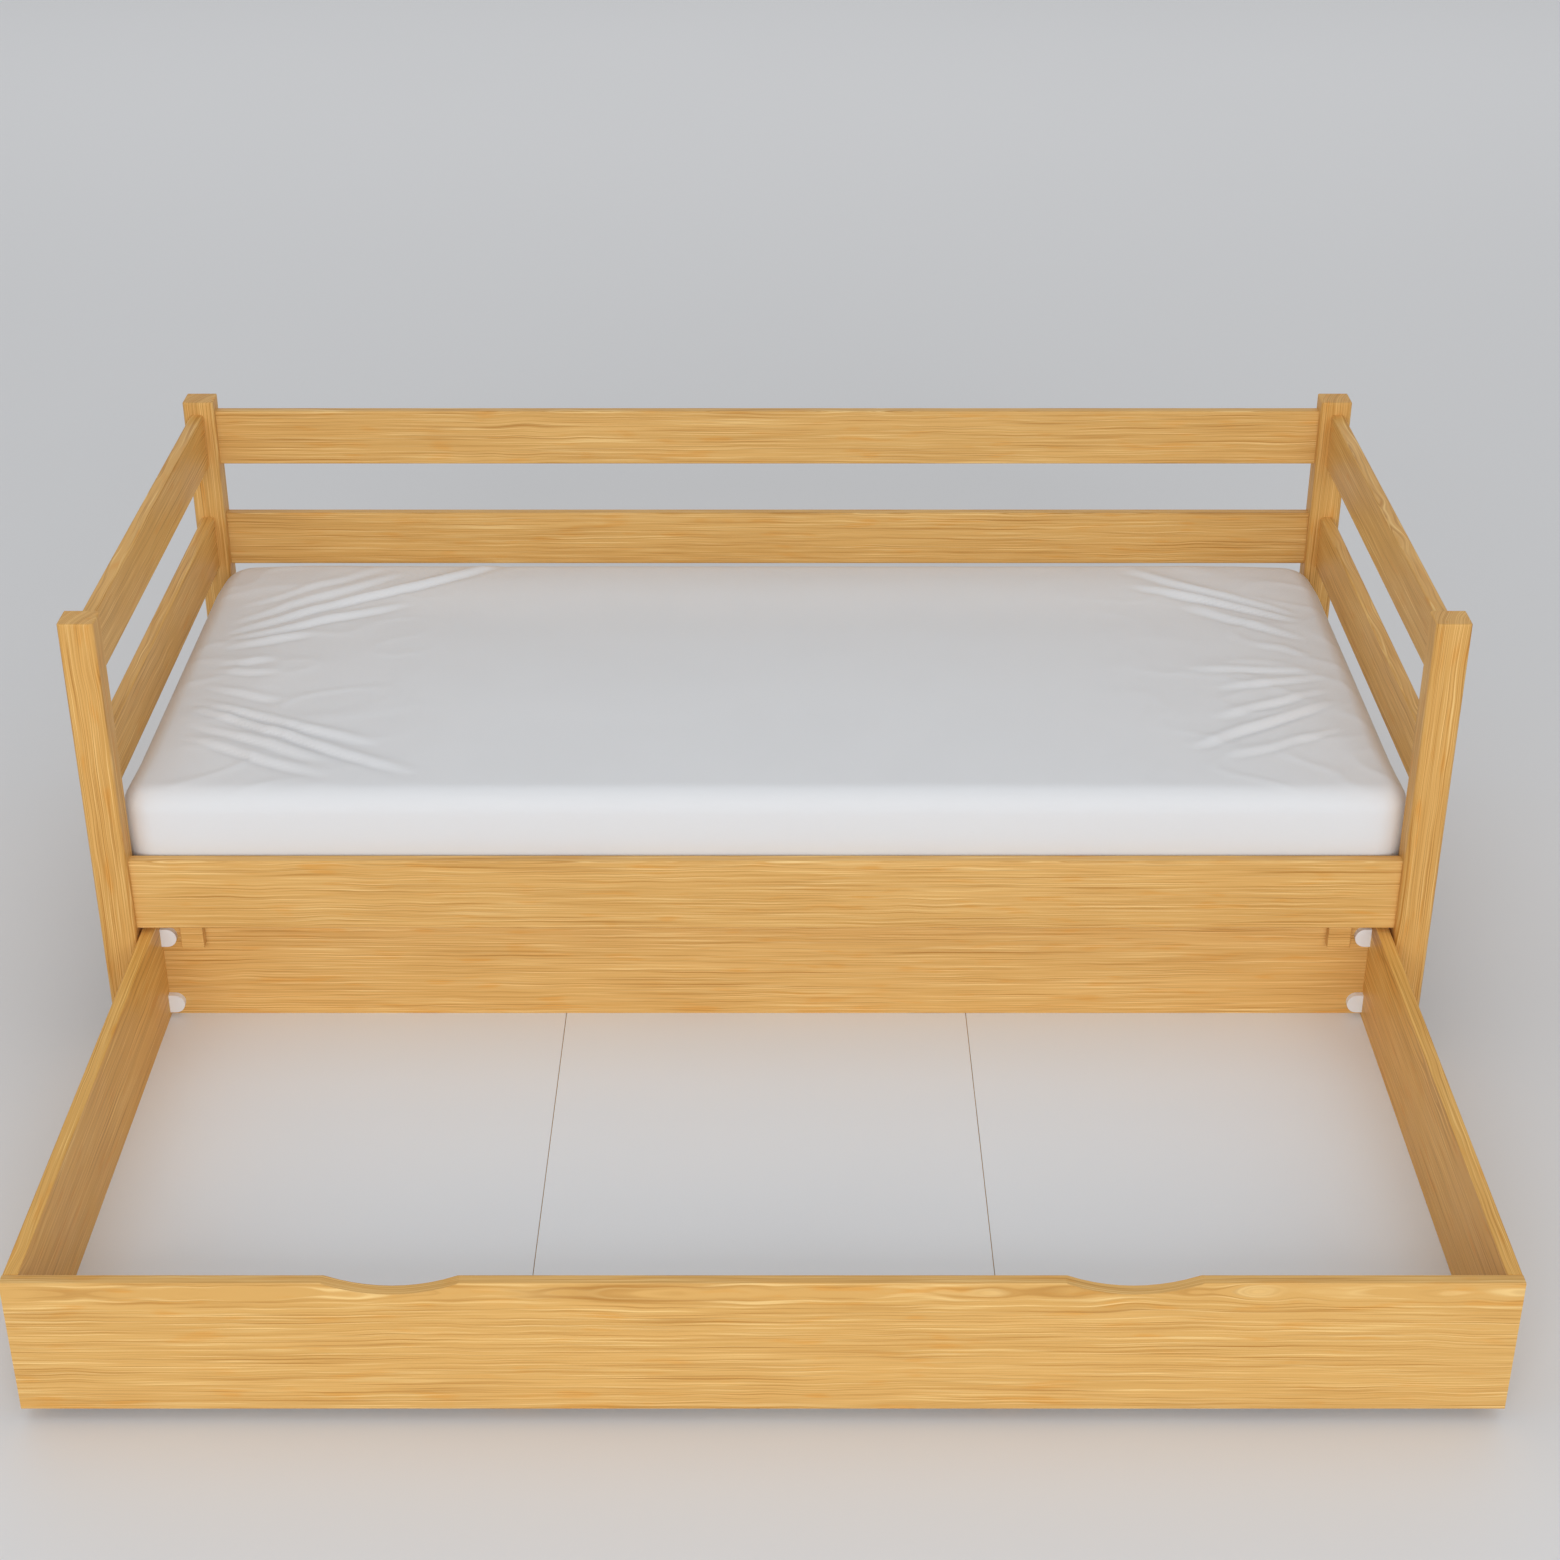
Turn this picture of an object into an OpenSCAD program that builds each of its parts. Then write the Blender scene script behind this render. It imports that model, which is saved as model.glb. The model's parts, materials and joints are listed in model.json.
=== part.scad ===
// Pine day bed with a roll-out trundle box under it.
// Millimetres, +Z up, +X along the bed, +Y towards the wall. The trundle is drawn rolled out.

/* [Mattress] */
// Length of the mattress core
mattress_l = 1998; // [1500:10:2400]
// Width of the mattress core
mattress_w = 893; // [700:1:1200]
// Thickness of the mattress core
mattress_h = 157; // [100:1:220]
// Plan radius of the mattress corners
mattress_corner_r = 52; // [45:1:90]
// Radius of the mattress's soft top and bottom edges
mattress_edge_r = 34; // [10:1:45]
// Thickness of the fitted sheet
sheet_t = 1; // [0.6:0.1:2]
// How far the fitted sheet turns in under the mattress
sheet_hem = 90; // [50:5:150]
// Room between the sheet and each end rail
mattress_gap_l = 5; // [4:1:30]
// Least room between the sheet's round corners and the posts
mattress_post_gap = 4; // [2:0.5:10]
// Room between the sheet and each long rail
mattress_gap_w = 4; // [2:1:15]

/* [Posts] */
// Overall height of the bed, glides included
bed_h = 773; // [680:1:930]
// Post size along the bed
post_w = 54; // [46:1:75]
// Post size across the bed
post_d = 50; // [44:1:75]
// Radius of the posts' eased upright edges
post_edge_r = 7; // [2:0.5:10]
// Radius of the eased edges round the posts' tops
post_top_r = 3; // [1:0.5:6]
// Thickness of the glide under each post
glide_h = 3; // [2:0.5:6]
// Diameter of the glides
glide_d = 28; // [20:1:38]
// Diameter of the nail of each glide
glide_nail_d = 3; // [2:0.5:5]
// Length of the nail of each glide
glide_nail_l = 18; // [12:1:30]

/* [Guard rails] */
// Height of the upper and lower guard rails' boards
guard_h = 100; // [70:1:115]
// How far the upper guard rails' top edge lies below the posts' tops
guard_drop = 23; // [10:1:60]
// Open gap between the upper and lower guard rails
guard_gap = 96; // [50:1:120]
// Thickness of the end rails
end_rail_t = 22; // [18:1:26]
// How far the end rails stand back from the posts' outer faces
end_rail_inset = 13; // [8:1:16]
// Thickness of the back rails
back_rail_t = 20; // [18:1:26]
// How far the back rails stand back from the posts' outer faces
back_rail_inset = 12; // [8:1:15]
// Radius of the boards' eased edges
board_edge_r = 3; // [1:0.5:5]

/* [Side rails] */
// Height of the front, back and end rails at mattress level
side_rail_h = 122; // [100:1:150]
// Height of those rails' lower edge above the floor
side_rail_z = 239.5; // [225:0.5:280]
// Thickness of the front side rail
side_rail_t = 20; // [18:1:26]
// How far the front side rail stands back from the posts' front faces
side_rail_inset = 15; // [8:1:16]

/* [Slats] */
// Number of slats
slat_count = 14; // [10:1:18]
// Width of a slat
slat_w = 70; // [50:1:90]
// Thickness of a slat
slat_t = 18; // [14:1:22]
// Height of the slats' top face above the floor
slat_top = 306; // [302:1:330]
// Room at each end of a slat
slat_end_gap = 1.5; // [0.5:0.5:4]
// Side of the square ledgers that carry the slats
ledger_s = 28; // [20:1:34]
// Room between a ledger's end and the post
ledger_end_gap = 4; // [2:1:10]
// Width of the webbing that spaces the slats
strap_w = 20; // [12:1:40]
// Thickness of the webbing
strap_t = 1.2; // [0.8:0.1:2]
// Distance of each strap from the slats' ends
strap_inset = 150; // [80:5:300]

/* [Trundle box] */
// Height of the trundle's boards
trundle_h = 212; // [150:1:214]
// Height of the boards' lower edge above the floor
trundle_clear = 20; // [12:1:22]
// Room between each side board and the post beside it
trundle_gap = 4; // [2:0.5:12]
// Inner depth of the box, front board to back board
trundle_inner_d = 878; // [600:1:882]
// Thickness of the front and back boards
trundle_board_t = 18; // [16:1:20]
// Thickness of the side boards
trundle_side_t = 20; // [16:1:22]
// Radius of the trundle boards' eased edges
trundle_edge_r = 2; // [1:0.5:4]
// Thickness of the floor panels
floor_t = 3; // [2.5:0.5:5]
// Height of the floor panels' top face above the boards' lower edge
floor_rise = 29; // [28:1:60]
// Depth of the groove that holds the floor panels
groove_depth = 7; // [4:1:9]
// Number of floor panels
panel_count = 3; // [2:1:4]
// Width of the seam between two floor panels
panel_seam = 1.2; // [0.5:0.1:3]
// Width of a bearer under a panel seam
bearer_w = 44; // [30:1:60]
// Height of a bearer
bearer_h = 20; // [14:1:22]

/* [Grip cut-outs] */
// Width of each grip cut-out in the front board's top edge
grip_w = 178; // [120:1:260]
// Depth of each grip cut-out
grip_drop = 18; // [12:1:40]
// Distance of each grip's middle from the middle of the front board
grip_x = 480; // [300:5:600]

/* [Corner connectors] */
// Height of a connector housing
connector_h = 32; // [22:1:40]
// Reach of a connector housing from the side board
connector_w = 25; // [20:1:40]
// Thickness of a connector housing
connector_t = 10; // [8:1:14]
// Distance of the lower connectors' middle above the floor panels
connector_low = 24; // [18:1:60]
// Distance of the upper connectors' middle below the boards' top edge
connector_drop = 34; // [20:1:50]
// Diameter of a connector's pegs
peg_d = 8; // [5:1:10]
// Length of a connector's pegs
peg_l = 9; // [6:1:12]
// Diameter of a connector bolt
connector_bolt_d = 6; // [4:1:7]

/* [Stop blocks] */
// Width of a stop block
stop_w = 36; // [25:1:60]
// Thickness of a stop block
stop_t = 18; // [14:1:26]
// Distance of a stop block from the side board
stop_x = 34; // [28:1:80]
// How far a stop block reaches below the boards' top edge
stop_below = 47; // [36:1:80]
// How far a stop block laps behind the side rail
stop_lap = 14; // [8:1:18]
// Room left between the stop blocks and the side rail as the trundle is drawn
stop_gap = 9; // [0.5:0.5:20]

/* [Castors] */
// Diameter of a castor wheel
wheel_d = 40; // [32:1:42]
// Width of a castor wheel
wheel_w = 16; // [10:1:22]
// Thickness of the tread on a wheel
tread_t = 3; // [1.5:0.5:5]
// Diameter of a castor axle
axle_d = 6; // [4:0.5:8]
// Radial room between the axle and the wheel's bore
axle_play = 0.06; // [0.02:0.01:0.1]
// Thickness of the castor bracket's plate
bracket_t = 2; // [1.5:0.5:3]
// Length of the castor bracket along the side board
bracket_l = 62; // [56:1:90]
// Room between the wheel and each cheek of its bracket
cheek_gap = 1.5; // [1:0.5:3]
// Room between the wheel and the web above it
web_gap = 2.5; // [1.5:0.5:3]
// Distance of the castors from the box's front and back boards
castor_inset = 90; // [50:5:250]

/* [Fixings] */
// Diameter of the wooden dowels
dowel_d = 8; // [6:1:10]
// Depth of a dowel in each piece
dowel_depth = 19; // [12:1:22]
// Depth of a dowel in the trundle's thin boards
short_dowel_depth = 10; // [6:1:12]
// Room around dowels, pegs and screws in their holes
fit_gap = 0.05; // [0.02:0.01:0.2]
// Diameter of a bed bolt's shank
bolt_d = 6; // [5:1:8]
// Diameter of a bed bolt's head
bolt_head_d = 13; // [11:1:16]
// Height of a bed bolt's head
bolt_head_h = 4; // [3:0.5:6]
// Room around a bed bolt in its holes
bolt_gap = 0.5; // [0.2:0.1:1]
// How far a bed bolt's nut sits from the rail's end
nut_reach = 36; // [28:1:50]
// Diameter of a barrel nut
nut_d = 10; // [9:1:12]
// Length of a barrel nut
nut_l = 14; // [10:1:16]
// Diameter of the wood screws
screw_d = 4; // [3:0.5:5]
// Diameter of the wood screws' heads
screw_head_d = 8; // [6:0.5:9]
// Number of screws in each ledger
ledger_screws_n = 7; // [4:1:12]

/* [Hidden] */
$fn = 48;

pine = [0.87, 0.67, 0.38];
beech = [0.82, 0.68, 0.48];
white_board = [0.88, 0.88, 0.87];
white_plastic = [0.93, 0.93, 0.93];
steel = [0.72, 0.73, 0.75];
linen = [0.93, 0.93, 0.94];
grey_rubber = [0.35, 0.35, 0.36];

// Inner box of the bed frame, from the mattress outwards
// The posts stand in past the rails, so thick posts set the end rails further out, clear of the mattress corners
post_reach_x = post_w - end_rail_inset - end_rail_t;
post_reach_y = post_d - min(back_rail_inset + back_rail_t, side_rail_inset + side_rail_t);
corner_out = mattress_corner_r + sheet_t + post_edge_r;
corner_y = max(0, corner_out + mattress_gap_w - post_reach_y);
corner_gap = sqrt(max(0, pow(corner_out + mattress_post_gap, 2) - pow(corner_y, 2))) - corner_out + post_reach_x;
inner_l = mattress_l + 2 * sheet_t + 2 * max(mattress_gap_l, corner_gap);
inner_w = mattress_w + 2 * sheet_t + 2 * mattress_gap_w;
bed_l = inner_l + 2 * (end_rail_inset + end_rail_t);
side_rail_back = side_rail_inset + side_rail_t;
back_rail_y = side_rail_back + inner_w;
bed_d = back_rail_y + back_rail_t + back_rail_inset;
half_l = bed_l / 2;
post_in_x = half_l - post_w;
rail_l = 2 * post_in_x;
back_post_y = bed_d - post_d;
end_rail_x = half_l - end_rail_inset - end_rail_t;
side_rail_top = side_rail_z + side_rail_h;
guard_top = bed_h - guard_drop;
guard_low_top = guard_top - guard_h - guard_gap;
rail_mid_y = side_rail_inset + side_rail_t / 2;
back_mid_y = back_rail_y + back_rail_t / 2;
end_mid_x = end_rail_x + end_rail_t / 2;

// Trundle, as it stands when rolled out against its stop blocks
trundle_l = rail_l - 2 * trundle_gap;
trundle_half = trundle_l / 2;
trundle_in_x = trundle_half - trundle_side_t;
tray_back = side_rail_back + stop_gap + stop_t;
tray_front = tray_back - trundle_inner_d;
trundle_front_y = tray_front - trundle_board_t;
trundle_top = trundle_clear + trundle_h;
floor_top = trundle_clear + floor_rise;
floor_z = floor_top - floor_t;
panel_w = (2 * (trundle_in_x + groove_depth - fit_gap) - (panel_count - 1) * panel_seam) / panel_count;
castor_z = wheel_d / 2;
bracket_in = wheel_w + 2 * cheek_gap;
castor_x = trundle_in_x - bracket_t - bracket_in / 2;
castor_ys = [tray_front + castor_inset, tray_back - castor_inset];

// The row's origin is under the middle of the whole rolled-out bed
front_y = -(trundle_front_y + bed_d) / 2;

slat_l = inner_w - 2 * slat_end_gap;
slat_z = slat_top - slat_t;
ledger_l = rail_l - 2 * ledger_end_gap;
slat_pitch = (ledger_l - slat_w) / (slat_count - 1);
slat_xs = [for (i = [0 : slat_count - 1]) -ledger_l / 2 + slat_w / 2 + i * slat_pitch];
strap_ys = [side_rail_back + strap_inset, back_rail_y - strap_inset];
mattress_y = side_rail_back + inner_w / 2;
sheet_l = mattress_l + 2 * sheet_t;
sheet_w = mattress_w + 2 * sheet_t;
sheet_h = mattress_h + 2 * sheet_t;
ledger_xs = [for (i = [0 : ledger_screws_n - 1])
    (i - (ledger_screws_n - 1) / 2) * (ledger_l - 2 * ledger_s) / (ledger_screws_n - 1)];
screw_head_h = (screw_head_d - screw_d) / 2;

// Lower edges of the upper and lower guard rails
guard_levels = [guard_top - guard_h, guard_low_top - guard_h];
dowel_spread = 0.3;

// ---- Shapes that repeat

module in_bed() {
    translate([0, front_y, 0]) children();
}

module rounded_rect(w, h, r) {
    translate([r, 0]) square([w - 2 * r, h]);
    translate([0, r]) square([w, h - 2 * r]);
    for (x = [r, w - r], y = [r, h - r]) translate([x, y]) circle(r);
}

// A board along X, Y or Z with its long edges eased; p is its lowest corner and s its size
module board_x(p, s, r) {
    translate(p) rotate([90, 0, 90]) linear_extrude(s[0]) rounded_rect(s[1], s[2], r);
}

module board_y(p, s, r) {
    translate([p[0], p[1] + s[1], p[2]]) rotate([90, 0, 0]) linear_extrude(s[1]) rounded_rect(s[0], s[2], r);
}

module board_z(p, s, r) {
    translate(p) linear_extrude(s[2]) rounded_rect(s[0], s[1], r);
}

module rod_x(p, l, d) {
    translate(p) rotate([0, 90, 0]) cylinder(h = l, d = d, center = true);
}

module rod_y(p, l, d) {
    translate(p) rotate([90, 0, 0]) cylinder(h = l, d = d, center = true);
}

// A countersunk wood screw of length l; its head's face is at the origin and it points along -Z
module wood_screw(l, grow) {
    translate([0, 0, -screw_head_h]) cylinder(h = screw_head_h, d1 = screw_d + 2 * grow,
        d2 = screw_head_d + 2 * grow);
    translate([0, 0, -l]) cylinder(h = l - screw_head_h / 2, d = screw_d + 2 * grow);
}

// ---- Dowels, bolts and nuts: one module draws each set, and the boards are cut with the same set

// Heights of the two dowels in a rail whose lower edge is at z and whose height is h
function dowel_zs(z, h) = [z + h * (0.5 - dowel_spread), z + h * (0.5 + dowel_spread)];

// Every rail level: lower edge, height
function end_levels() = [for (z = guard_levels) [z, guard_h], [side_rail_z, side_rail_h]];

module dowel_set(grow) {
    d = dowel_d + 2 * grow;
    l = 2 * (dowel_depth + grow);
    for (level = end_levels(), z = dowel_zs(level[0], level[1]), side = [-1, 1]) {
        for (y = [post_d, back_post_y]) rod_y([side * end_mid_x, y, z], l, d);
        rod_x([side * post_in_x, back_mid_y, z], l, d);
    }
    for (z = dowel_zs(side_rail_z, side_rail_h), side = [-1, 1]) rod_x([side * post_in_x, rail_mid_y, z], l, d);
}

// Where the bed bolts run: [y, z] of each long rail's middle
function bolt_lines() = concat([for (level = end_levels()) [back_mid_y, level[0] + level[1] / 2]],
    [[rail_mid_y, side_rail_z + side_rail_h / 2]]);

module bolt_shape(shank_d, head_d, head_h, end_x) {
    for (line = bolt_lines(), side = [-1, 1]) {
        translate([side * half_l, line[0], line[1]]) rotate([0, side * -90, 0]) {
            cylinder(h = head_h, d = head_d);
            cylinder(h = end_x, d = shank_d);
        }
    }
}

module nut_shape(d, l, open_l) {
    for (line = bolt_lines(), side = [-1, 1]) {
        translate([side * (post_in_x - nut_reach), line[0], line[1]]) {
            rotate([90, 0, 0]) cylinder(h = l, d = d, center = true);
            translate([0, open_l / 2, 0]) rotate([90, 0, 0]) cylinder(h = open_l, d = d, center = true);
        }
    }
}

module frame_holes() {
    dowel_set(fit_gap);
    bolt_shape(bolt_d + 2 * bolt_gap, bolt_head_d + 2 * bolt_gap, bolt_head_h + bolt_gap,
        post_w + nut_reach + nut_d);
    nut_shape(nut_d + 2 * fit_gap, nut_l + 2 * fit_gap, side_rail_t);
}

// ---- Bed frame

module post(side, back) {
    x = side > 0 ? post_in_x : -half_l;
    y = back ? back_post_y : 0;
    h = bed_h - glide_h;
    color(pine) in_bed() difference() {
        intersection() {
            board_z([x, y, glide_h], [post_w, post_d, h], post_edge_r);
            board_x([x, y, glide_h - post_top_r], [post_w, post_d, h + post_top_r], post_top_r);
            board_y([x, y, glide_h - post_top_r], [post_w, post_d, h + post_top_r], post_top_r);
        }
        frame_holes();
        glide_nails(fit_gap);
    }
}

module end_rail(side, z, h) {
    x = side > 0 ? end_rail_x : -end_rail_x - end_rail_t;
    color(pine) in_bed() difference() {
        board_y([x, post_d, z], [end_rail_t, back_post_y - post_d, h], board_edge_r);
        dowel_set(fit_gap);
    }
}

module long_rail(y, z, t, h) {
    color(pine) in_bed() difference() {
        board_x([-post_in_x, y, z], [rail_l, t, h], board_edge_r);
        frame_holes();
        ledger_screw_set(fit_gap);
    }
}

module rail_dowels() {
    color(beech) in_bed() dowel_set(0);
}

module bed_bolts() {
    socket_d = bolt_d * 0.67;
    color(steel) in_bed() difference() {
        bolt_shape(bolt_d, bolt_head_d, bolt_head_h, post_w + nut_reach + nut_d / 2);
        for (line = bolt_lines(), side = [-1, 1]) {
            translate([side * half_l, line[0], line[1]]) rotate([0, 90, 0])
                cylinder(h = bolt_head_h * 1.4, d = socket_d, center = true, $fn = 6);
        }
    }
}

module barrel_nuts() {
    color(steel) in_bed() difference() {
        nut_shape(nut_d, nut_l, 1);
        bolt_shape(bolt_d + 2 * fit_gap, bolt_head_d, bolt_head_h, post_w + nut_reach + nut_d);
    }
}

module glide_nails(grow) {
    for (side = [-1, 1], y = [post_d / 2, bed_d - post_d / 2]) {
        translate([side * (half_l - post_w / 2), y, glide_h])
            cylinder(h = glide_nail_l + grow, d = glide_nail_d + 2 * grow);
    }
}

module floor_glides() {
    color(white_plastic) in_bed() {
        for (side = [-1, 1], y = [post_d / 2, bed_d - post_d / 2]) {
            translate([side * (half_l - post_w / 2), y, 0]) cylinder(h = glide_h, d = glide_d);
        }
        glide_nails(0);
    }
}

// ---- Slatted base

module ledger_screw_set(grow) {
    l = ledger_s + side_rail_t * 0.6;
    for (x = ledger_xs) {
        translate([x, side_rail_back + ledger_s, slat_z - ledger_s / 2]) rotate([-90, 0, 0])
            wood_screw(l, grow);
        translate([x, back_rail_y - ledger_s, slat_z - ledger_s / 2]) rotate([90, 0, 0])
            wood_screw(l, grow);
    }
}

module slat_ledger(y) {
    color(pine) in_bed() difference() {
        board_x([-ledger_l / 2, y, slat_z - ledger_s], [ledger_l, ledger_s, ledger_s], board_edge_r / 2);
        ledger_screw_set(fit_gap);
    }
}

module ledger_screws() {
    color(steel) in_bed() ledger_screw_set(0);
}

module slats() {
    color(pine) in_bed() for (x = slat_xs) {
        board_y([x - slat_w / 2, side_rail_back + slat_end_gap, slat_z], [slat_w, slat_l, slat_t],
            board_edge_r);
    }
}

module slat_straps() {
    color(linen) in_bed() for (y = strap_ys) {
        translate([-ledger_l / 2, y - strap_w / 2, slat_z - strap_t]) cube([ledger_l, strap_w, strap_t]);
    }
}

module slat_staples() {
    wire = 1;
    crown = strap_w * 0.6;
    leg = slat_t * 0.5;
    color(steel) in_bed() for (x = slat_xs, y = strap_ys) {
        translate([x - wire / 2, y - crown / 2, slat_z - strap_t - wire]) {
            cube([wire, crown, wire]);
            for (end = [0, crown - wire]) translate([0, end, 0]) cube([wire, wire, leg]);
        }
    }
}

// ---- Mattress and its fitted sheet

module soft_block(l, w, h, corner_r, edge_r) {
    intersection() {
        board_z([-l / 2, -w / 2, 0], [l, w, h], corner_r);
        board_x([-l / 2, -w / 2, 0], [l, w, h], edge_r);
        board_y([-l / 2, -w / 2, 0], [l, w, h], edge_r);
    }
}

module mattress() {
    color(linen) in_bed() translate([0, mattress_y, slat_top + sheet_t])
        soft_block(mattress_l, mattress_w, mattress_h, mattress_corner_r, mattress_edge_r);
}

module fitted_sheet() {
    color(linen) in_bed() translate([0, mattress_y, slat_top]) difference() {
        soft_block(sheet_l, sheet_w, sheet_h, mattress_corner_r + sheet_t, mattress_edge_r + sheet_t);
        translate([0, 0, sheet_t])
            soft_block(mattress_l, mattress_w, mattress_h, mattress_corner_r, mattress_edge_r);
        board_z([-sheet_l / 2 + sheet_hem, -sheet_w / 2 + sheet_hem, -sheet_t],
            [sheet_l - 2 * sheet_hem, sheet_w - 2 * sheet_hem, 3 * sheet_t], mattress_corner_r);
    }
}

// ---- Trundle box

module floor_groove() {
    translate([-trundle_in_x - groove_depth, tray_front - groove_depth, floor_z - fit_gap])
        cube([2 * (trundle_in_x + groove_depth), trundle_inner_d + 2 * groove_depth, floor_t + 2 * fit_gap]);
}

// A circular bite out of the top edge: chord grip_w, depth grip_drop
module grip_bites() {
    r = (grip_w * grip_w / 4 + grip_drop * grip_drop) / (2 * grip_drop);
    for (side = [-1, 1]) {
        translate([side * grip_x, tray_front - trundle_board_t / 2, trundle_top - grip_drop + r])
            rotate([90, 0, 0]) cylinder(h = 2 * trundle_board_t, r = r, center = true, $fn = 180);
    }
}

module trundle_board(y) {
    board_x([-trundle_half, y, trundle_clear], [trundle_l, trundle_board_t, trundle_h], trundle_edge_r);
}

module trundle_front() {
    color(pine) in_bed() difference() {
        trundle_board(trundle_front_y);
        grip_bites();
        floor_groove();
        connector_pegs(fit_gap);
        bearer_dowel_set(fit_gap);
    }
}

module trundle_back() {
    color(pine) in_bed() difference() {
        trundle_board(tray_back);
        floor_groove();
        connector_pegs(fit_gap);
        bearer_dowel_set(fit_gap);
        stop_screw_set(fit_gap);
    }
}

module trundle_side(side) {
    x = side > 0 ? trundle_in_x : -trundle_half;
    color(pine) in_bed() difference() {
        board_y([x, tray_front, trundle_clear], [trundle_side_t, trundle_inner_d, trundle_h], trundle_edge_r);
        floor_groove();
        connector_bolt_set(fit_gap);
        castor_screw_set(fit_gap);
    }
}

module trundle_floor(i) {
    depth = trundle_inner_d + 2 * (groove_depth - fit_gap);
    color(white_board) in_bed() difference() {
        translate([-trundle_in_x - groove_depth + fit_gap + i * (panel_w + panel_seam),
            tray_front - groove_depth + fit_gap, floor_z]) cube([panel_w, depth, floor_t]);
        connector_pegs(fit_gap);
    }
}

module trundle_bearers() {
    first = -trundle_in_x - groove_depth + panel_w + panel_seam / 2;
    color(pine) in_bed() difference() {
        for (i = [0 : panel_count - 2]) {
            board_y([first + i * (panel_w + panel_seam) - bearer_w / 2, tray_front, floor_z - bearer_h],
                [bearer_w, trundle_inner_d, bearer_h], trundle_edge_r);
        }
        bearer_dowel_set(fit_gap);
    }
}

module bearer_dowel_set(grow) {
    first = -trundle_in_x - groove_depth + panel_w + panel_seam / 2;
    for (i = [0 : panel_count - 2], dx = [-bearer_w / 4, bearer_w / 4], y = [tray_front, tray_back]) {
        rod_y([first + i * (panel_w + panel_seam) + dx, y, floor_z - bearer_h / 2],
            2 * (short_dowel_depth + grow), dowel_d + 2 * grow);
    }
}

module bearer_dowels() {
    color(beech) in_bed() bearer_dowel_set(0);
}

// ---- Corner connectors: a housing pegged to the front or back board, bolted to the side board

function connector_zs() = [floor_top + connector_low, trundle_top - connector_drop];

module d_outline() {
    r = connector_h / 2;
    difference() {
        union() {
            translate([0, -r]) square([connector_w - r, connector_h]);
            translate([connector_w - r, 0]) circle(r);
        }
        translate([-connector_h, -connector_h]) square([connector_h, 2 * connector_h]);
    }
}

module connector_pegs(grow) {
    for (side = [-1, 1], end = [-1, 1], z = connector_zs()) {
        y = end < 0 ? tray_front - peg_l / 2 : tray_back + peg_l / 2;
        rod_y([side * (trundle_in_x - connector_w / 2), y, z], peg_l + 2 * grow, peg_d + 2 * grow);
    }
}

module connector_bolt_set(grow) {
    l = connector_w * 0.6 + trundle_side_t * 0.6;
    for (side = [-1, 1], end = [-1, 1], z = connector_zs()) {
        y = end < 0 ? tray_front + connector_t / 2 : tray_back - connector_t / 2;
        x = trundle_in_x - connector_w * 0.6 + l / 2;
        rod_x([side * x, y, z], l + 2 * grow, connector_bolt_d + 2 * grow);
    }
}

module corner_connectors() {
    color(white_plastic) in_bed() difference() {
        union() {
            for (side = [-1, 1], end = [-1, 1], z = connector_zs()) {
                y = end < 0 ? tray_front + connector_t : tray_back;
                translate([side * trundle_in_x, y, z]) mirror([side > 0 ? 1 : 0, 0, 0])
                    rotate([90, 0, 0]) linear_extrude(connector_t) d_outline();
            }
            connector_pegs(0);
        }
        connector_bolt_set(fit_gap);
    }
}

module connector_bolts() {
    color(steel) in_bed() connector_bolt_set(0);
}

// ---- Stop blocks: they meet the side rail's inner face when the trundle is out

function stop_mid_x() = trundle_in_x - stop_x - stop_w / 2;

module stop_blocks() {
    z = trundle_top - stop_below;
    h = side_rail_z + stop_lap - z;
    color(pine) in_bed() difference() {
        for (side = [-1, 1]) {
            board_z([side * stop_mid_x() - stop_w / 2, tray_back - stop_t, z], [stop_w, stop_t, h],
                trundle_edge_r);
        }
        stop_screw_set(fit_gap);
    }
}

module stop_screw_set(grow) {
    for (side = [-1, 1], dz = [stop_below * 0.3, stop_below * 0.7]) {
        translate([side * stop_mid_x(), tray_back + trundle_board_t, trundle_top - dz]) rotate([-90, 0, 0])
            wood_screw(trundle_board_t + stop_t * 0.6, grow);
    }
}

module stop_screws() {
    color(steel) in_bed() stop_screw_set(0);
}

// ---- Castors: a pressed bracket on the side board, an axle and a wheel with a soft tread

module castor_screw_set(grow) {
    for (side = [-1, 1], y = castor_ys, dy = [-1, 1]) {
        translate([side * (trundle_in_x - bracket_t), y + dy * (bracket_l / 2 - screw_head_d),
            (trundle_clear + floor_z) / 2]) rotate([0, side * -90, 0])
            wood_screw(trundle_side_t * 0.7, grow);
    }
}

module bracket_shape() {
    web_z = wheel_d + web_gap;
    low_z = castor_z - axle_d;
    plate_z = trundle_clear + 1;
    cheek_l = axle_d * 3.4;
    w = bracket_in + 2 * bracket_t;
    // Cheeks beside the wheel
    for (x = [-w / 2, w / 2 - bracket_t]) {
        translate([x, -cheek_l / 2, low_z]) cube([bracket_t, cheek_l, web_z + bracket_t - low_z]);
    }
    // Web over the wheel
    translate([-w / 2, -cheek_l / 2, web_z]) cube([w, cheek_l, bracket_t]);
    // Plate against the side board
    translate([w / 2 - bracket_t, -bracket_l / 2, plate_z])
        cube([bracket_t, bracket_l, web_z + bracket_t - plate_z]);
}

module castor_brackets() {
    color(steel) in_bed() difference() {
        for (side = [-1, 1], y = castor_ys) {
            translate([side * castor_x, y, 0]) mirror([side < 0 ? 1 : 0, 0, 0]) bracket_shape();
        }
        axle_set(fit_gap);
        castor_screw_set(fit_gap);
    }
}

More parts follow.
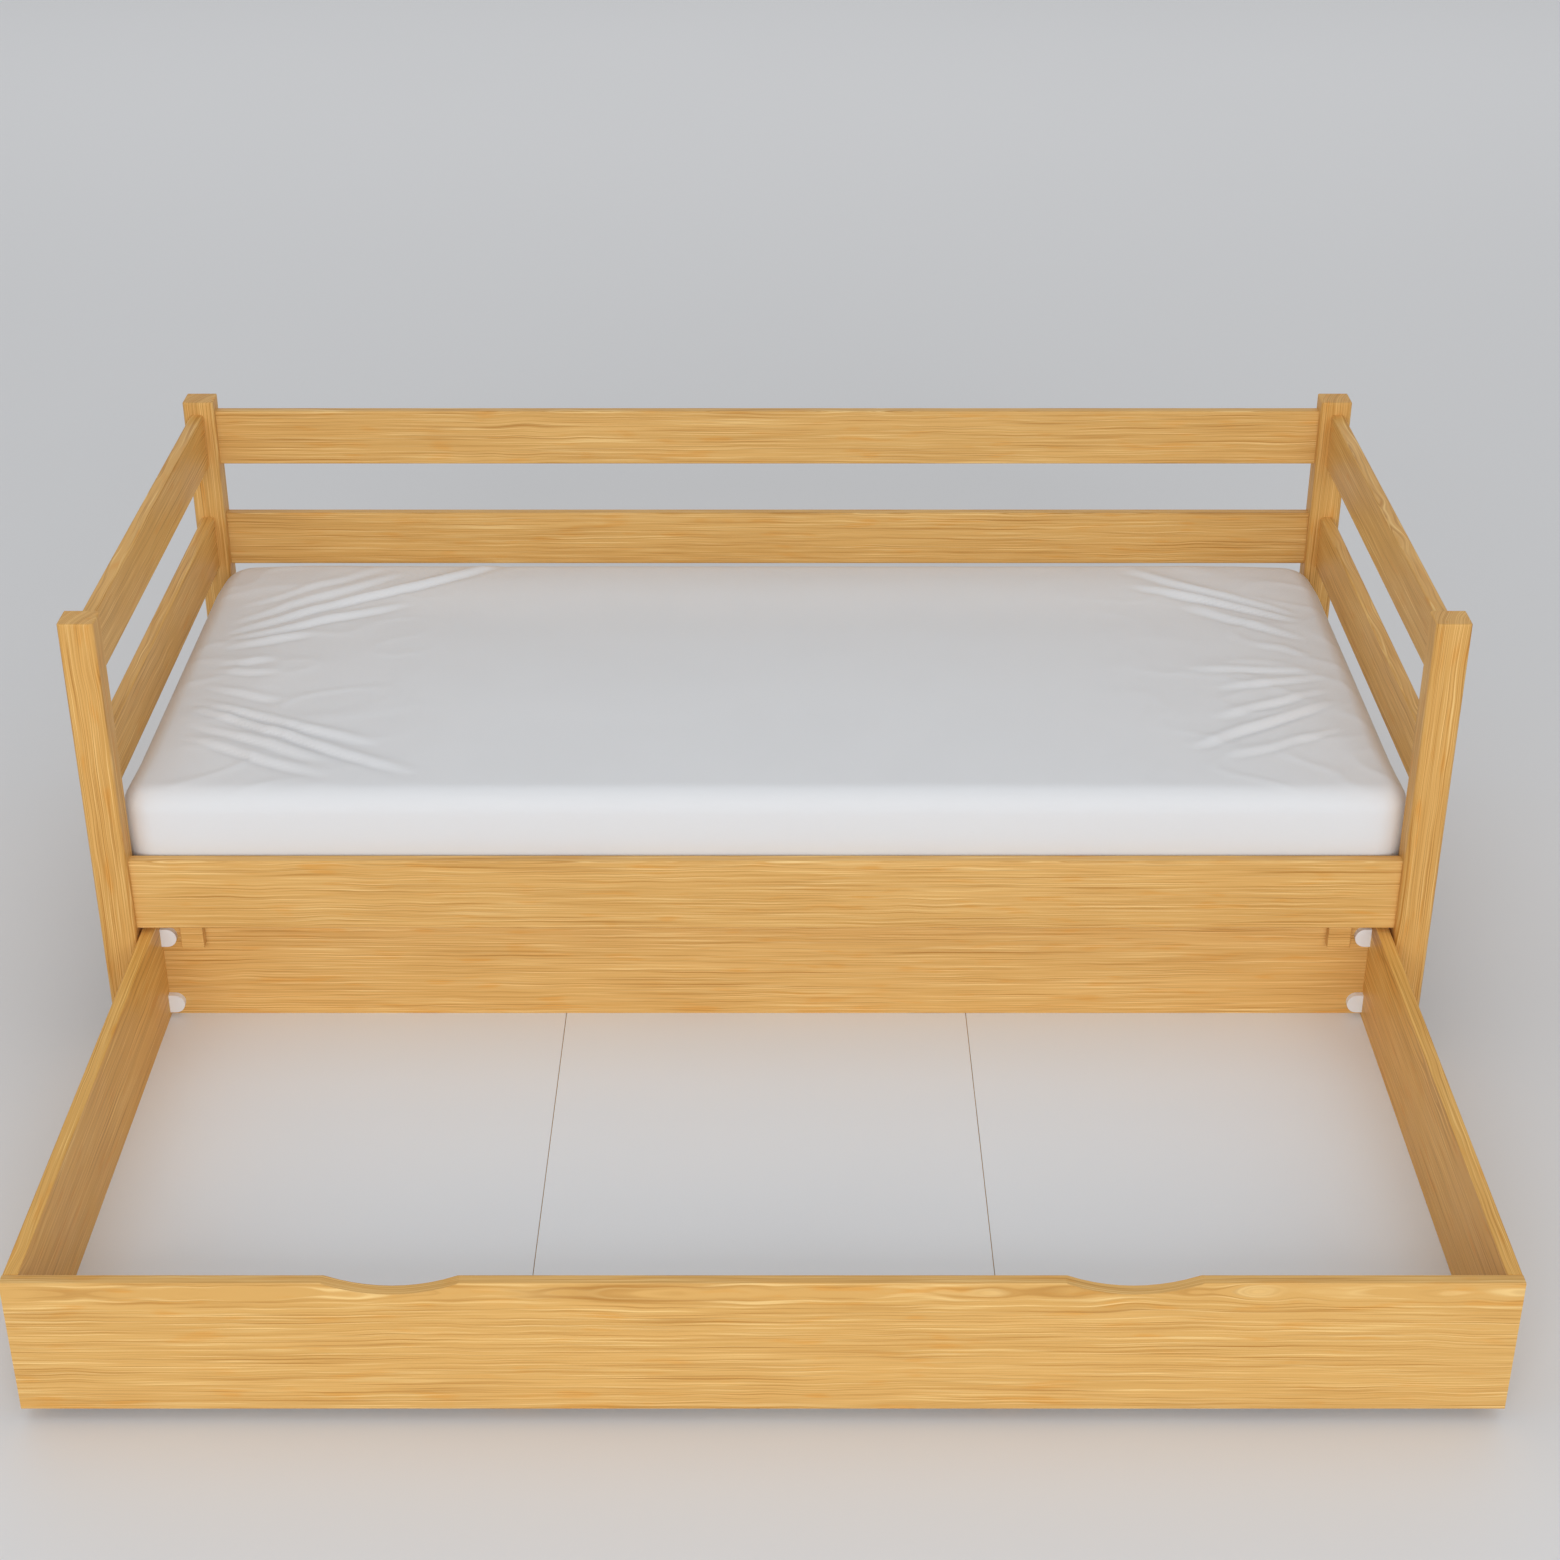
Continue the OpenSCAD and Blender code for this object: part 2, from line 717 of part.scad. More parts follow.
module axle_set(grow) {
    for (side = [-1, 1], y = castor_ys) {
        rod_x([side * castor_x, y, castor_z], bracket_in + 2 * bracket_t, axle_d + 2 * grow);
    }
}

module castor_axles() {
    color(steel) in_bed() axle_set(0);
}

module castor_screws() {
    color(steel) in_bed() castor_screw_set(0);
}

module castor_hub(side, i) {
    color(white_plastic) in_bed() difference() {
        rod_x([side * castor_x, castor_ys[i], castor_z], wheel_w, wheel_d - 2 * tread_t);
        rod_x([side * castor_x, castor_ys[i], castor_z], 2 * wheel_w, axle_d + 2 * axle_play);
    }
}

module castor_tread(side, i) {
    color(grey_rubber) in_bed() difference() {
        rod_x([side * castor_x, castor_ys[i], castor_z], wheel_w, wheel_d);
        rod_x([side * castor_x, castor_ys[i], castor_z], 2 * wheel_w, wheel_d - 2 * tread_t);
    }
}

// ---- Nodes

post(-1, false);  // post_front_left
post(1, false);  // post_front_right
post(-1, true);  // post_back_left
post(1, true);  // post_back_right
end_rail(-1, guard_levels[0], guard_h);  // end_rail_upper_left
end_rail(-1, guard_levels[1], guard_h);  // end_rail_lower_left
end_rail(-1, side_rail_z, side_rail_h);  // end_rail_base_left
end_rail(1, guard_levels[0], guard_h);  // end_rail_upper_right
end_rail(1, guard_levels[1], guard_h);  // end_rail_lower_right
end_rail(1, side_rail_z, side_rail_h);  // end_rail_base_right
long_rail(back_rail_y, guard_levels[0], back_rail_t, guard_h);  // back_rail_upper
long_rail(back_rail_y, guard_levels[1], back_rail_t, guard_h);  // back_rail_lower
long_rail(back_rail_y, side_rail_z, back_rail_t, side_rail_h);  // back_rail_base
long_rail(side_rail_inset, side_rail_z, side_rail_t, side_rail_h);  // front_side_rail
slat_ledger(side_rail_back);  // slat_ledger_front
slat_ledger(back_rail_y - ledger_s);  // slat_ledger_back
slats();
slat_straps();
slat_staples();
rail_dowels();
bed_bolts();
barrel_nuts();
ledger_screws();
floor_glides();
mattress();
fitted_sheet();
trundle_front();
trundle_back();
trundle_side(-1);  // trundle_side_left
trundle_side(1);  // trundle_side_right
trundle_floor(0);  // trundle_floor_left
trundle_floor(1);  // trundle_floor_middle
trundle_floor(panel_count - 1);  // trundle_floor_right
trundle_bearers();
bearer_dowels();
corner_connectors();
connector_bolts();
stop_blocks();
stop_screws();
castor_brackets();
castor_axles();
castor_screws();
castor_hub(-1, 0);  // castor_hub_front_left
castor_hub(1, 0);  // castor_hub_front_right
castor_hub(-1, 1);  // castor_hub_back_left
castor_hub(1, 1);  // castor_hub_back_right
castor_tread(-1, 0);  // castor_tread_front_left
castor_tread(1, 0);  // castor_tread_front_right
castor_tread(-1, 1);  // castor_tread_back_left
castor_tread(1, 1);  // castor_tread_back_right
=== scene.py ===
import json
import math

import bpy
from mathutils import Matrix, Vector, noise


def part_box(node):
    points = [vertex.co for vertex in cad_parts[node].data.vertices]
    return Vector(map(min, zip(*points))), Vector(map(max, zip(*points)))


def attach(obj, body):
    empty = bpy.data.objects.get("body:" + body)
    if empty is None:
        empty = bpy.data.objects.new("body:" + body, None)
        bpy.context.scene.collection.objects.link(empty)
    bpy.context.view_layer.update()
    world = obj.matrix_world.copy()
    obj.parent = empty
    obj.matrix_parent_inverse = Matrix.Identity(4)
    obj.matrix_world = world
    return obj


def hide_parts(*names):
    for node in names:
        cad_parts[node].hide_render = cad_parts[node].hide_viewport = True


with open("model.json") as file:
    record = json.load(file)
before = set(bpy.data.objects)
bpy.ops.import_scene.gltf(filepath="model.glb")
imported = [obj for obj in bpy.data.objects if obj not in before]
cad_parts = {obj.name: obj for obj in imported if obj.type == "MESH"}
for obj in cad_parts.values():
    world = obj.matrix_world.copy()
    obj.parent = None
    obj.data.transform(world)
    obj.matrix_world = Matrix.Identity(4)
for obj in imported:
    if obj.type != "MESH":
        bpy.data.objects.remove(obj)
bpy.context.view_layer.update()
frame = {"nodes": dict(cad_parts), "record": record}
parts = frame["nodes"]
print("frame loaded:", len(parts), "parts")


# Camera, floor and light

view = {
    "place": (0.0226, -3.5278, 2.4067), "tiltDown": 28.69, "lens": 60.12, "sensor": 36.0, "farEnd": 200.0,
}
room = {
    "floorSize": 60.0, "skyColour": (0.97, 0.985, 1.0), "skyStrength": 0.46,
    "keyPlace": (0.0, -7.0, 3.0), "keyAim": (0.0, 0.0, 0.35), "keySize": (7.0, 3.0), "keyPower": 290.0,
    "topPlace": (0.0, -0.6, 4.6), "topAim": (0.0, 0.0, 0.0), "topSize": (6.0, 5.0), "topPower": 30.0,
    "backPlace": (0.0, 7.0, 4.2), "backAim": (0.0, 6.0, 0.0), "backSize": (14.0, 4.0), "backPower": 110.0,
}


def makeCamera():
    data = bpy.data.cameras.new("bedCamera")
    data.lens = view["lens"]
    data.sensor_width = view["sensor"]
    data.clip_end = view["farEnd"]
    camera = bpy.data.objects.new("bedCamera", data)
    camera.location = view["place"]
    camera.rotation_euler = (math.radians(90.0 - view["tiltDown"]), 0.0, 0.0)
    bpy.context.scene.collection.objects.link(camera)
    bpy.context.scene.camera = camera


def softLight(name, place, aim, size, power):
    data = bpy.data.lights.new(name, "AREA")
    data.shape = "RECTANGLE"
    data.size, data.size_y = size
    data.energy = power
    light = bpy.data.objects.new(name, data)
    light.location = place
    light.rotation_euler = (Vector(aim) - Vector(place)).to_track_quat("-Z", "Y").to_euler()
    bpy.context.scene.collection.objects.link(light)


def makeFloor():
    half = room["floorSize"] / 2
    corners = [(-half, -half, 0), (half, -half, 0), (half, half, 0), (-half, half, 0)]
    mesh = bpy.data.meshes.new("studioFloor")
    mesh.from_pydata(corners, [], [(0, 1, 2, 3)])
    floor = bpy.data.objects.new("studioFloor", mesh)
    bpy.context.scene.collection.objects.link(floor)
    return floor


makeCamera()
studioFloor = makeFloor()
for lamp in ("key", "top", "back"):
    softLight(lamp + "Softbox", *(room[lamp + part] for part in ("Place", "Aim", "Size", "Power")))
world = bpy.data.worlds.new("paleRoom")
bpy.context.scene.world = world
world.use_nodes = True
sky = world.node_tree.nodes["Background"]
sky.inputs["Color"].default_value = (*room["skyColour"], 1.0)
sky.inputs["Strength"].default_value = room["skyStrength"]
bpy.context.scene.view_settings.view_transform = "Standard"
print("camera, floor and light made")


# Small helpers for node trees

def setInputs(node, values):
    for name, value in values.items():
        socket = node.inputs[name]
        socket.default_value = (*value, 1.0) if socket.type == "RGBA" and len(value) == 3 else value


def addNode(tree, kind, values=None, **settings):
    node = tree.nodes.new(kind)
    for name, value in settings.items():
        setattr(node, name, value)
    setInputs(node, values or {})
    return node


def mathNode(tree, operation, first, second=None):
    node = addNode(tree, "ShaderNodeMath", operation=operation)
    for slot, value in enumerate((first, second)):
        if value is None:
            continue
        if isinstance(value, (int, float)):
            node.inputs[slot].default_value = value
        else:
            tree.links.new(value, node.inputs[slot])
    return node.outputs[0]


def vectorNode(tree, operation, first, second):
    node = addNode(tree, "ShaderNodeVectorMath", operation=operation)
    for slot, value in enumerate((first, second)):
        if isinstance(value, tuple):
            node.inputs[slot].default_value = value
        else:
            tree.links.new(value, node.inputs[slot])
    return node.outputs[0]


def scaleNode(tree, vector, factor):
    node = addNode(tree, "ShaderNodeVectorMath", operation="SCALE")
    tree.links.new(vector, node.inputs[0])
    tree.links.new(factor, node.inputs["Scale"])
    return node.outputs[0]


def noiseNode(tree, vector, scale, detail, roughness=0.5, output="Fac"):
    values = {"Scale": scale, "Detail": detail, "Roughness": roughness}
    node = addNode(tree, "ShaderNodeTexNoise", values)
    tree.links.new(vector, node.inputs["Vector"])
    return node.outputs[output]


# A soft step from 0 at low to 1 at high; low may be the larger
def band(tree, value, low, high):
    values = {"From Min": low, "From Max": high}
    node = addNode(tree, "ShaderNodeMapRange", values, interpolation_type="SMOOTHSTEP")
    tree.links.new(value, node.inputs["Value"])
    return node.outputs["Result"]


def mixColour(tree, factor, first, second):
    node = addNode(tree, "ShaderNodeMix", data_type="RGBA")
    sockets = [s for s in node.inputs if s.type == "RGBA"]
    for socket, value in ((node.inputs[0], factor), (sockets[0], first), (sockets[1], second)):
        if isinstance(value, tuple):
            socket.default_value = (*value, 1.0)
        else:
            tree.links.new(value, socket)
    return next(s for s in node.outputs if s.type == "RGBA")


def darker(colour, share):
    return tuple(c * share for c in colour)


def newGroup(name, inputs, outputs):
    group = bpy.data.node_groups.new(name, "ShaderNodeTree")
    for label, kind, default in inputs:
        socket = group.interface.new_socket(label, in_out="INPUT", socket_type="NodeSocket" + kind)
        if default is not None:
            socket.default_value = default
    for label in outputs:
        group.interface.new_socket(label, in_out="OUTPUT", socket_type="NodeSocketFloat")
    return group, group.nodes.new("NodeGroupInput"), group.nodes.new("NodeGroupOutput")


def useGroup(tree, group, values, vector):
    node = addNode(tree, "ShaderNodeGroup", node_tree=group)
    setInputs(node, values)
    tree.links.new(vector, node.inputs["Vector"])
    return node


def newMaterial(name, shader):
    material = bpy.data.materials.new(name)
    material.use_nodes = True
    tree = material.node_tree
    body = tree.nodes["Principled BSDF"]
    setInputs(body, shader)
    coordinates = tree.nodes.new("ShaderNodeTexCoord").outputs["Object"]
    return material, tree, body, coordinates


def addBump(tree, body, height, distance, strength):
    node = addNode(tree, "ShaderNodeBump", {"Strength": strength, "Distance": distance})
    tree.links.new(height, node.inputs["Height"])
    tree.links.new(node.outputs["Normal"], body.inputs["Normal"])


# Wood grain: rings round a pith that runs along local X, seen wherever a board is cut

woodGrain = {
    "ringScale": 270.0,
    # how far the rings are pushed, in metres, and how often, along and across the board
    "wander": 0.010, "wanderRate": (1.3, 5.0, 5.0),
    "ripple": 0.0042, "rippleRate": (11.0, 30.0, 30.0),
    "figure": 0.011, "figureRate": (8.0, 15.0, 15.0),
    "branchRate": (2.6, 7.0, 7.0), "branchFade": (0.50, 0.70),
    "blotchRate": (13.0, 70.0, 70.0), "blotchFade": (0.57, 0.77),
    "fibreRate": (24.0, 1300.0, 1300.0),
}
# What shows on the rings: rate along the board, rate across the rings, offset, roughness and fade
ringLayers = {
    "Lines": (2.4, 1.0, (0.0, 0.0, 0.0), 0.55, (0.44, 0.27)),
    "Thin Lines": (3.6, 2.2, (13.0, 3.0, 8.0), 0.6, (0.52, 0.30)),
    "Light Streaks": (4.0, 1.8, (31.0, 7.0, 3.0), 0.6, (0.50, 0.72)),
    "Bands": (1.6, 0.2, (5.0, 11.0, 2.0), 0.5, (0.30, 0.70)),
}


def makeGrainGroup():
    inputs = [("Vector", "Vector", None), ("Wander", "Float", woodGrain["wander"]),
              ("Ripple", "Float", woodGrain["ripple"]), ("Figure", "Float", woodGrain["figure"]),
              ("Ring Scale", "Float", woodGrain["ringScale"])]
    group, start, end = newGroup("woodGrain", inputs, [*ringLayers, "Blotches", "Fibre"])
    point = start.outputs["Vector"]

    def stretch(vector, rate):
        return vectorNode(group, "MULTIPLY", vector, woodGrain[rate])

    def push(vector, rate, amount):
        drift = noiseNode(group, stretch(point, rate), 1.0, 1.0, output="Color")
        drift = vectorNode(group, "SUBTRACT", drift, (0.5, 0.5, 0.5))
        return vectorNode(group, "ADD", vector, scaleNode(group, drift, amount))

    # slow wandering of the whole trunk, short ripples, and figure where a branch once pushed the rings aside
    branch = noiseNode(group, stretch(point, "branchRate"), 1.0, 0.0)
    branch = band(group, branch, *woodGrain["branchFade"])
    moved = push(point, "wanderRate", start.outputs["Wander"])
    moved = push(moved, "rippleRate", start.outputs["Ripple"])
    moved = push(moved, "figureRate", mathNode(group, "MULTIPLY", branch, start.outputs["Figure"]))
    axes = addNode(group, "ShaderNodeSeparateXYZ")
    group.links.new(moved, axes.inputs[0])
    squares = [mathNode(group, "POWER", axes.outputs[axis], 2.0) for axis in "YZ"]
    radius = mathNode(group, "SQRT", mathNode(group, "ADD", *squares))
    rings = mathNode(group, "MULTIPLY", radius, start.outputs["Ring Scale"])

    for label, (along, across, offset, roughness, fade) in ringLayers.items():
        place = addNode(group, "ShaderNodeCombineXYZ")
        group.links.new(mathNode(group, "MULTIPLY", axes.outputs["X"], along), place.inputs["X"])
        group.links.new(mathNode(group, "MULTIPLY", rings, across), place.inputs["Y"])
        layer = noiseNode(group, vectorNode(group, "ADD", place.outputs[0], offset), 1.0, 2.0, roughness)
        group.links.new(band(group, layer, *fade), end.inputs[label])
    blotches = noiseNode(group, stretch(moved, "blotchRate"), 1.0, 1.0)
    group.links.new(band(group, blotches, *woodGrain["blotchFade"]), end.inputs["Blotches"])
    group.links.new(noiseNode(group, stretch(point, "fibreRate"), 1.0, 2.0), end.inputs["Fibre"])
    return group


# A fine cloth weave from crossed waves, and the slow unevenness of its threads

clothWeave = {"threads": 900.0, "slubRate": (60.0, 260.0, 260.0)}


def makeWeaveGroup():
    inputs = [("Vector", "Vector", None), ("Threads", "Float", clothWeave["threads"])]
    group, start, end = newGroup("clothWeave", inputs, ["Height", "Slub"])
    axes = addNode(group, "ShaderNodeSeparateXYZ")
    group.links.new(scaleNode(group, start.outputs["Vector"], start.outputs["Threads"]), axes.inputs[0])
    waves = [mathNode(group, "SINE", axes.outputs[axis]) for axis in "XYZ"]
    flat = mathNode(group, "MULTIPLY", waves[0], waves[1])
    upright = mathNode(group, "MULTIPLY", waves[2], mathNode(group, "ADD", waves[0], waves[1]))
    group.links.new(mathNode(group, "ADD", flat, upright), end.inputs["Height"])
    slub = vectorNode(group, "MULTIPLY", start.outputs["Vector"], clothWeave["slubRate"])
    group.links.new(noiseNode(group, slub, 1.0, 2.0), end.inputs["Slub"])
    return group


# Handling marks: faint uneven gloss and soft tone clouds, each with its share of the size and its fade

handlingMarks = {"size": 6.0, "detail": 3.0, "Clouds": (1.0, 0.3, 0.7), "Specks": (40.0, 0.66, 0.74)}


def makeHandlingGroup():
    inputs = [("Vector", "Vector", None), ("Size", "Float", handlingMarks["size"])]
    group, start, end = newGroup("handlingMarks", inputs, ["Clouds", "Specks"])
    for label in ("Clouds", "Specks"):
        factor, low, high = handlingMarks[label]
        node = addNode(group, "ShaderNodeTexNoise", {"Detail": handlingMarks["detail"]})
        group.links.new(start.outputs["Vector"], node.inputs["Vector"])
        group.links.new(mathNode(group, "MULTIPLY", start.outputs["Size"], factor), node.inputs["Scale"])
        group.links.new(band(group, node.outputs["Fac"], low, high), end.inputs[label])
    return group


grainGroup = makeGrainGroup()
weaveGroup = makeWeaveGroup()
handlingGroup = makeHandlingGroup()

pineColours = {
    "base": (0.790, 0.465, 0.148), "darkLine": (0.49, 0.225, 0.038), "lightStreak": (0.97, 0.68, 0.290),
    "darkBand": (0.680, 0.380, 0.105), "blotch": (0.76, 0.345, 0.055),
}
# Which layer of the grain is laid on, in this order, how strongly and in which colour
pineLayers = (
    ("Bands", 0.55, "darkBand"), ("Blotches", 0.55, "blotch"), ("Light Streaks", 0.88, "lightStreak"),
    ("Thin Lines", 0.62, "darkLine"), ("Lines", 0.85, "darkLine"),
)
pineLook = {
    "rings": 270.0, "ringsUpright": 360.0, "contrast": 1.0, "contrastUpright": 1.3, "seedStep": 3.7,
    "fibreShare": 0.12, "fibreFade": (0.55, 0.8), "fibreHeight": 0.5, "lineDepth": 0.3,
    "roughness": 0.45, "roughnessSpread": 0.10, "handlingSize": 5.0,
    "coat": 0.05, "coatRoughness": 0.3, "specular": 0.3, "bump": 0.0003, "bumpStrength": 0.6,
}


# axis: the board's long direction; pith: where the trunk's middle lay from the board's, across the grain
def makePine(name, axis, middle, pith, seed, tone):
    material, tree, body, coordinates = newMaterial(name, {
        "Coat Weight": pineLook["coat"], "Coat Roughness": pineLook["coatRoughness"],
        "Specular IOR Level": pineLook["specular"]})
    upright = "Upright" if axis == "Z" else ""
    centred = vectorNode(tree, "SUBTRACT", coordinates, tuple(middle))
    turned = addNode(tree, "ShaderNodeSeparateXYZ")
    tree.links.new(centred, turned.inputs[0])
    order = {"X": "XYZ", "Y": "YXZ", "Z": "ZXY"}[axis]
    board = addNode(tree, "ShaderNodeCombineXYZ")
    for label, source in zip("XYZ", order):
        tree.links.new(turned.outputs[source], board.inputs[label])
    board = vectorNode(tree, "ADD", board.outputs[0], (seed * pineLook["seedStep"], *pith))
    grain = useGroup(tree, grainGroup, {"Ring Scale": pineLook["rings" + upright]}, board)
    handling = useGroup(tree, handlingGroup, {"Size": pineLook["handlingSize"]}, coordinates)
    look = {key: tuple(min(c * t, 1.0) for c, t in zip(pineColours[key], tone)) for key in pineColours}

    colour = look["base"]
    for layer, share, tint in pineLayers:
        share = min(share * pineLook["contrast" + upright], 1.0)
        colour = mixColour(tree, mathNode(tree, "MULTIPLY", grain.outputs[layer], share), colour, look[tint])
    fibre = band(tree, grain.outputs["Fibre"], *pineLook["fibreFade"])
    fibre = mathNode(tree, "MULTIPLY", fibre, pineLook["fibreShare"])
    tree.links.new(mixColour(tree, fibre, colour, look["darkBand"]), body.inputs["Base Color"])
    gloss = mathNode(tree, "MULTIPLY", handling.outputs["Clouds"], pineLook["roughnessSpread"])
    tree.links.new(mathNode(tree, "ADD", pineLook["roughness"], gloss), body.inputs["Roughness"])
    raised = mathNode(tree, "MULTIPLY", grain.outputs["Fibre"], pineLook["fibreHeight"])
    sunk = mathNode(tree, "MULTIPLY", grain.outputs["Lines"], pineLook["lineDepth"])
    addBump(tree, body, mathNode(tree, "SUBTRACT", raised, sunk), pineLook["bump"], pineLook["bumpStrength"])
    return material


def longAxis(low, high):
    size = [high[i] - low[i] for i in range(3)]
    return "XYZ"[size.index(max(size))]


def dress(name, material):
    part = parts[name]
    part.data.materials.clear()
    part.data.materials.append(material)
    for face in part.data.polygons:
        face.material_index = 0


# Tints of the boards whose names start so; the others keep the plain pine colours
pineTints = {
    "post": (0.95, 0.90, 0.80), "trundle_side": (0.97, 0.92, 0.74), "end": (0.95, 0.90, 0.78),
    "back_rail": (0.94, 0.93, 0.91), "trundle_front": (0.95, 0.945, 0.91),
}
# Each board is cut from its own trunk: its pith and tone swing a little from one board to the next
boardCut = {
    "pith": (0.045, -0.115), "pithSwing": (0.02, -0.03), "pithStep": (2.4, 1.7),
    "pithUpright": (-0.12, 0.05), "pithSwingUpright": -0.02, "toneSwing": 0.015, "toneStep": 5.1,
    # nodes that hold several boards, and which way those boards lie
    "grainAxis": {"slats": "Y", "trundle_bearers": "Y", "stop_blocks": "X"},
}
pineParts = [entry["node"] for entry in frame["record"]["subparts"] if entry["material_slot"] == "pine"]
for count, name in enumerate(pineParts):
    low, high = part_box(name)
    axis = boardCut["grainAxis"].get(name) or longAxis(low, high)
    swing = (math.sin(count * boardCut["pithStep"][0]), math.cos(count * boardCut["pithStep"][1]))
    pith = tuple(boardCut["pith"][i] + boardCut["pithSwing"][i] * swing[i] for i in range(2))
    if axis == "Z":
        across, depth = boardCut["pithUpright"]
        pith = (across + boardCut["pithSwingUpright"] * swing[0], depth)
    warmth = next((tint for start, tint in pineTints.items() if name.startswith(start)), (1.0, 1.0, 1.0))
    brightness = 1.0 + boardCut["toneSwing"] * math.sin(count * boardCut["toneStep"])
    tone = [c * brightness for c in warmth]
    dress(name, makePine("pine_" + name, axis, (low + high) / 2, pith, 1.0 + count, tone))
print("pine boards dressed:", len(pineParts))


# Other finishes of the fixed parts

plainLook = {
    "cloudTone": 0.8, "speckTone": 0.6, "speckShare": 0.5, "glossSpread": 0.3,
    "bumpRate": 60.0, "bumpDetail": 3.0, "bumpStrength": 0.4,
}


def makePlain(name, colour, variation, shader, cloudSize, bump):
    material, tree, body, coordinates = newMaterial(name, shader)
    handling = useGroup(tree, handlingGroup, {"Size": cloudSize}, coordinates)
    clouds = mathNode(tree, "MULTIPLY", handling.outputs["Clouds"], variation)
    specks = mathNode(tree, "MULTIPLY", handling.outputs["Specks"], variation * plainLook["speckShare"])
    clouded = mixColour(tree, clouds, colour, darker(colour, plainLook["cloudTone"]))
    clouded = mixColour(tree, specks, clouded, darker(colour, plainLook["speckTone"]))
    tree.links.new(clouded, body.inputs["Base Color"])
    rough = shader["Roughness"]
    gloss = mathNode(tree, "MULTIPLY", handling.outputs["Clouds"], rough * plainLook["glossSpread"])
    tree.links.new(mathNode(tree, "ADD", rough, gloss), body.inputs["Roughness"])
    surface = noiseNode(tree, coordinates, cloudSize * plainLook["bumpRate"], plainLook["bumpDetail"])
    addBump(tree, body, surface, bump, plainLook["bumpStrength"])
    return material


finishLooks = {
    "white_board": {
        "name": "whiteFibreboard", "colour": (0.86, 0.905, 0.96), "variation": 0.05,
        "shader": {"Roughness": 0.38, "Coat Weight": 0.1}, "cloudSize": 3.0, "bump": 0.0001},
    "white_plastic": {
        "name": "whitePlastic", "colour": (0.88, 0.91, 0.95), "variation": 0.05,
        "shader": {"Roughness": 0.35}, "cloudSize": 30.0, "bump": 0.00005},
    "steel": {
        "name": "zincSteel", "colour": (0.60, 0.61, 0.62), "variation": 0.35,
        "shader": {"Roughness": 0.32, "Metallic": 1.0}, "cloudSize": 60.0, "bump": 0.00005},
    "beech": {
        "name": "bareBeech", "colour": (0.60, 0.40, 0.22), "variation": 0.3,
        "shader": {"Roughness": 0.6}, "cloudSize": 40.0, "bump": 0.0001},
    "grey_rubber": {
        "name": "greyTread", "colour": (0.10, 0.10, 0.105), "variation": 0.3,
        "shader": {"Roughness": 0.7}, "cloudSize": 50.0, "bump": 0.0001},
    "webbing": {
        "name": "slatWebbing", "colour": (0.62, 0.61, 0.58), "variation": 0.3,
        "shader": {"Roughness": 0.85}, "cloudSize": 80.0, "bump": 0.0003},
}
floorLook = {
    "name": "paleFloor", "colour": (0.78, 0.785, 0.80), "variation": 0.03,
    "shader": {"Roughness": 0.55}, "cloudSize": 0.5, "bump": 0.0002}

finishes = {slot: makePlain(**look) for slot, look in finishLooks.items()}
for entry in frame["record"]["subparts"]:
    if entry["material_slot"] in finishes:
        dress(entry["node"], finishes[entry["material_slot"]])
studioFloor.data.materials.append(makePlain(**floorLook))
print("other finishes made")


# Mattress and fitted sheet

bedding = {
    "cell": 0.0065, "edge": 0.036, "corner": 0.052, "hem": 0.09,
    # the cloth's own unevenness: height, then share, rate along, rate across and offset of each wave
    "waveHeight": 0.001, "waves": ((0.6, 3.0, 4.0, 1.7), (0.25, 14.0, 18.0, 4.1)),
    "flatEdge": 0.3, "edgeFade": 0.03,
}
# The core is a little smaller than the sheet, and its top lies clear of the cloth's folds
core = {"drop": 0.008, "in": 0.001, "tighter": 0.001, "cells": 3, "fill": 0.95}
# How the ends and the back lean in towards the top, from where it starts and over how far
lean = {
    "ends": 0.007, "backCorners": 0.009, "frontOver": 0.14,
    "endsFrom": 0.85, "endsOver": 0.12, "backFrom": 0.33, "backOver": 0.1,
}


# 0 up to a start, then 1 once the value is so far over it
def rise(value, start, over):
    return min(max((value - start) / over, 0.0), 1.0)


# A box of grid cells wrapped onto a block with round corners in plan and soft edges
def softBlock(low, high, corner, edge, cell):
    middle = (Vector(low) + Vector(high)) / 2
    half = (Vector(high) - Vector(low)) / 2
    counts = [max(4, round(2 * half[i] / cell)) for i in range(3)]
    index, points, faces = {}, [], []

    def pointAt(i, j, k):
        key = (i, j, k)
        if key not in index:
            index[key] = len(points)
            points.append([half[a] * (2 * key[a] / counts[a] - 1) for a in range(3)])
        return index[key]

    for a, b, c in ((0, 1, 2), (1, 2, 0), (2, 0, 1)):
        for side in (0, counts[c]):
            for i in range(counts[a]):
                for j in range(counts[b]):
                    ring = []
                    for di, dj in ((0, 0), (1, 0), (1, 1), (0, 1)):
                        key = [0, 0, 0]
                        key[a], key[b], key[c] = i + di, j + dj, side
                        ring.append(pointAt(*key))
                    faces.append(ring if side else ring[::-1])
    for p in points:
        p[:] = wrapPoint(p, half, corner, edge)
    return [Vector(p) + middle for p in points], faces


def roundSquare(u, v):
    return u * math.sqrt(1 - v * v / 2), v * math.sqrt(1 - u * u / 2)


